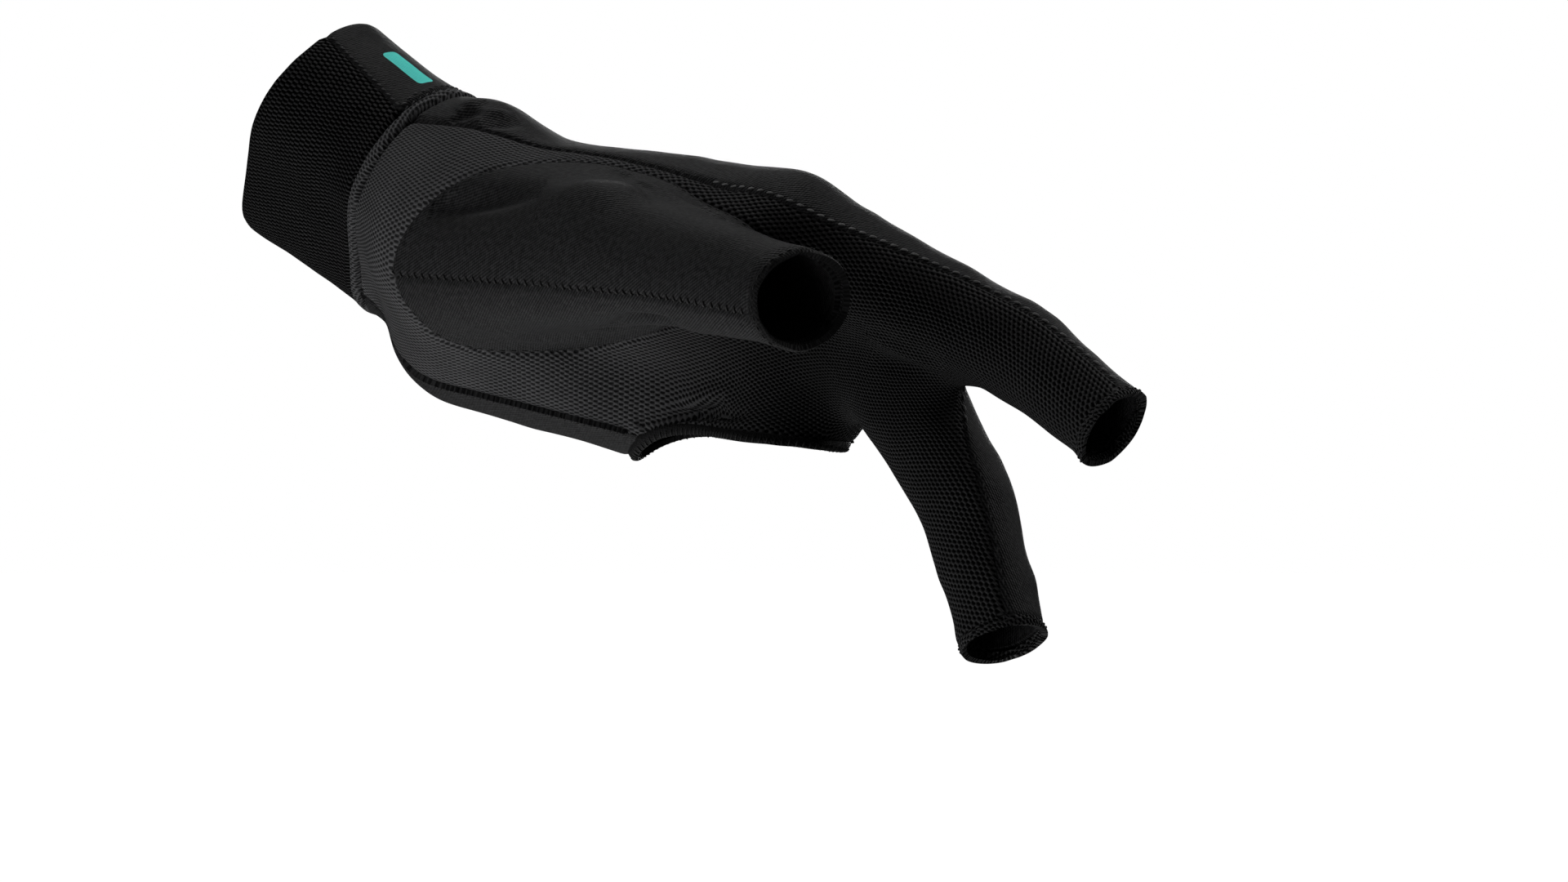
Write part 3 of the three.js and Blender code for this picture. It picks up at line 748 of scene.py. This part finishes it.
def smoothKnit(name, knit):
    finish, tree, principled = newFinish(name, Roughness=0.6, Specular_IOR_Level=0.12,
                                         Sheen_Weight=knit["sheen"])
    pattern = addNode(tree, "ShaderNodeUVMap", uv_map="pattern")
    parts = addNode(tree, "ShaderNodeSeparateXYZ", {0: pattern.outputs["UV"]})
    slanted = addNode(tree, "ShaderNodeMath",
                      {0: parts.outputs["Y"], 1: knit["slant"], 2: parts.outputs["X"]},
                      operation="MULTIPLY_ADD")
    ribs = addNode(tree, "ShaderNodeMath", {0: slanted.outputs[0], 1: 2 * math.pi / knit["rib"]},
                   operation="MULTIPLY")
    ribWave = addNode(tree, "ShaderNodeMath", {0: ribs.outputs[0]}, operation="SINE")
    cross = addNode(tree, "ShaderNodeMath", {0: parts.outputs["Y"], 1: 2 * math.pi / knit["cross"]},
                    operation="MULTIPLY")
    crossWave = addNode(tree, "ShaderNodeMath", {0: cross.outputs[0]}, operation="SINE")
    weave = addNode(tree, "ShaderNodeMath", {0: crossWave.outputs[0], 1: 0.5, 2: ribWave.outputs[0]},
                    operation="MULTIPLY_ADD")
    fuzz = addNode(tree, "ShaderNodeTexNoise", {"Vector": pattern.outputs["UV"], "Scale": 1.1, "Detail": 3})
    mixed = addNode(tree, "ShaderNodeMath", {0: fuzz.outputs["Fac"], 1: 5, 2: weave.outputs[0]},
                    operation="MULTIPLY_ADD")
    shade = addNode(tree, "ShaderNodeMapRange", {"Value": mixed.outputs[0], "From Min": 1.5, "From Max": 3.8})
    yarn = addNode(tree, "ShaderNodeMix",
                   {"Factor": shade.outputs[0], "A": srgb(knit["dark"]), "B": srgb(knit["light"])},
                   data_type="RGBA")
    colour = yarn.outputs["Result"]
    if "print" in knit:  # a plain bar, printed on the cloth
        centre, half, tint = knit["print"]
        offset = addNode(tree, "ShaderNodeVectorMath", {0: pattern.outputs["UV"], 1: centre},
                         operation="SUBTRACT")
        size = addNode(tree, "ShaderNodeVectorMath", {0: offset.outputs[0]}, operation="ABSOLUTE")
        past = addNode(tree, "ShaderNodeVectorMath", {0: size.outputs[0], 1: half}, operation="SUBTRACT")
        outside = addNode(tree, "ShaderNodeVectorMath", {0: past.outputs[0], 1: (0, 0, 0)},
                          operation="MAXIMUM")
        away = addNode(tree, "ShaderNodeVectorMath", {0: outside.outputs[0]}, operation="LENGTH")
        inked = addNode(tree, "ShaderNodeMapRange", {"Value": away.outputs["Value"], **barCorner})
        colour = addNode(tree, "ShaderNodeMix", {"Factor": inked.outputs[0], "A": colour, "B": srgb(tint)},
                         data_type="RGBA").outputs["Result"]
    tree.links.new(colour, principled.inputs["Base Color"])
    bump = addNode(tree, "ShaderNodeBump",
                   {"Height": mixed.outputs[0], "Strength": 0.5, "Distance": 0.08 * mm})
    tree.links.new(bump.outputs[0], principled.inputs["Normal"])
    return finish


# spun polyester thread: a short twist that breaks up the light along each stitch
def thread(name, dark, light):
    finish, tree, principled = newFinish(name, Roughness=0.55, Specular_IOR_Level=0.3)
    place = addNode(tree, "ShaderNodeTexCoord")
    twist = addNode(tree, "ShaderNodeTexNoise",
                    {"Vector": place.outputs["Object"], "Scale": 2500, "Detail": 2})
    yarn = addNode(tree, "ShaderNodeMix", {"Factor": twist.outputs["Fac"], "A": srgb(dark), "B": srgb(light)},
                   data_type="RGBA")
    tree.links.new(yarn.outputs["Result"], principled.inputs["Base Color"])
    bump = addNode(tree, "ShaderNodeBump",
                   {"Height": twist.outputs["Fac"], "Strength": 0.4, "Distance": 0.05 * mm})
    tree.links.new(bump.outputs[0], principled.inputs["Normal"])
    return finish


def patternAt(name, px, py):  # place in a sheet's flat pattern, under a pixel of the photograph
    mesh = sheets[name].data
    spot, _, face, _ = facesTree(name).ray_cast(view["place"], sightLine(px, py))
    corners = [mesh.loops[n] for n in mesh.polygons[face].loop_indices]
    nearest = min(corners, key=lambda corner: (mesh.vertices[corner.vertex_index].co - spot).length)
    return (*mesh.uv_layers["pattern"].data[nearest.index].uv, 0)


finishes = {
    "mesh": meshKnit("polyester_mesh_knit", {"across": 0.9, "along": 1.7, "holes": (0.1, 0.8), "relief": 0.3,
                                             "dark": "#2a2a2b", "light": "#3c3c3d", "hole": "#010101",
                                             "sheen": 0.01,
                                             "paintedLightRamp": [(30, 1.1), (62, 0.75), (85, 0.26), (105, 0.12),
                                                       (130, 0.34)],
                                             "holesShutInPaintedLight": 0.8}),
    # the same mesh knit, stretched wider over the cuff with bigger holes, and held darker all over as painted
    # shade
    "cuffMesh": meshKnit("stretched_mesh_knit_painted_shade",
                         {"across": 0.95, "along": 2.3, "holes": (-0.05, 0.5), "relief": 0.4,
                                                 "dark": "#252526", "light": "#343435", "hole": "#010101",
                                                 "sheen": 0.01,
                                                 "paintedLightRamp": [(0, 0.31), (100, 0.31)], "holesShutInPaintedLight": 1}),
    "smooth": smoothKnit("elastane_knit", {"rib": 0.6, "cross": 0.5, "slant": 0.8, "dark": "#060607",
                                           "light": "#2f2f30", "sheen": 0.02}),
    "printed": smoothKnit("elastane_knit_printed", {"rib": 0.6, "cross": 0.5, "slant": 0.8, "dark": "#050506",
                                                    "light": "#232324", "sheen": 0.02,
                                                    "print": (patternAt("cuff_smooth", 498, 82),
                                                              (1.2, 4.5, 0), "#66fff2")}),
    "edge": smoothKnit("turned_knit_edge", {"rib": 0.6, "cross": 0.5, "slant": 0.2, "dark": "#080808",
                                            "light": "#161617", "sheen": 0.02}),
    "black": thread("black_thread", "#030303", "#0a0a0a"),
    "dark": thread("worn_black_thread", "#0a0a0a", "#1d1d1e"),
    "grey": thread("grey_thread", "#2a2a2b", "#4a4a4b"),
    # thread made pale to paint the glints on the radial seam's stitches
    "pale": thread("thread_with_painted_glints", "#4c4c4c", "#8a8a8a"),
}
for name, sheet in sheets.items():
    sheet.data.materials.append(finishes[panels[name]["finish"]])
for name, seam in seams.items():
    seam.data.materials.clear()
    seam.data.materials.append(finishes[threads[name]["thread"]])
    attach(seam, "root")
# the knit is stretched when worn
print("finishes given")

# floor and light
bpy.ops.mesh.primitive_plane_add(size=40, location=(0.08, 0, -0.7))
floor = bpy.context.object
floor.name = "floor"
pale, paleTree, palePrincipled = newFinish("pale_floor", Roughness=0.8)
grain = addNode(paleTree, "ShaderNodeTexNoise", {"Scale": 3, "Detail": 2})
tone = addNode(paleTree, "ShaderNodeMix",
               {"Factor": grain.outputs["Fac"], "A": srgb("#f4f4f4"), "B": srgb("#f8f8f8")},
               data_type="RGBA")
paleTree.links.new(tone.outputs["Result"], palePrincipled.inputs["Base Color"])
lit = addNode(paleTree, "ShaderNodeLightPath")
paleTree.links.new(lit.outputs["Is Camera Ray"], palePrincipled.inputs["Emission Strength"])
palePrincipled.inputs["Emission Color"].default_value = srgb("#fefefe")
floor.data.materials.append(pale)

lamps = {
    "left": {"at": (-0.3, -0.3, 0.05), "towards": (0.05, -0.03, -0.03), "size": 0.2, "power": 0.5},
    "low": {"at": (-0.16, -0.24, -0.38), "towards": (0.03, -0.03, -0.05), "size": 0.3, "power": 0.9},
    "under": {"at": (0.0, 0.12, -0.4), "towards": (0.03, -0.01, -0.05), "size": 0.25, "power": 0.35},
    "top": {"at": (0.04, 0.1, 0.45), "towards": (0.05, -0.03, -0.03), "size": 0.2, "power": 0.75},
    "right": {"at": (0.45, 0.05, 0.2), "towards": (0.12, -0.05, -0.06), "size": 0.3, "power": 0.7},
    "behind": {"at": (0.15, 0.5, 0.05), "towards": (0.08, 0.02, -0.05), "size": 0.3, "power": 1.5},
}
for name, lamp in lamps.items():
    way = Vector(lamp["towards"]) - Vector(lamp["at"])
    bpy.ops.object.light_add(type="AREA", location=lamp["at"],
                             rotation=way.to_track_quat("-Z", "Y").to_euler())
    light = bpy.context.object
    light.name = name
    light.data.size = lamp["size"]
    light.data.energy = lamp["power"]

# white to the eye, and dim as a light
surround = 0.03
world = bpy.data.worlds.new("studio")
scene.world = world
world.use_nodes = True
ray = addNode(world.node_tree, "ShaderNodeLightPath")
shown = addNode(world.node_tree, "ShaderNodeMapRange",
                {"Value": ray.outputs["Is Camera Ray"], "To Min": surround, "To Max": 1.0})
world.node_tree.links.new(shown.outputs[0], world.node_tree.nodes["Background"].inputs["Strength"])
world.node_tree.nodes["Background"].inputs["Color"].default_value = (1, 1, 1, 1)
scene.view_settings.view_transform = "Standard"
print("studio set")
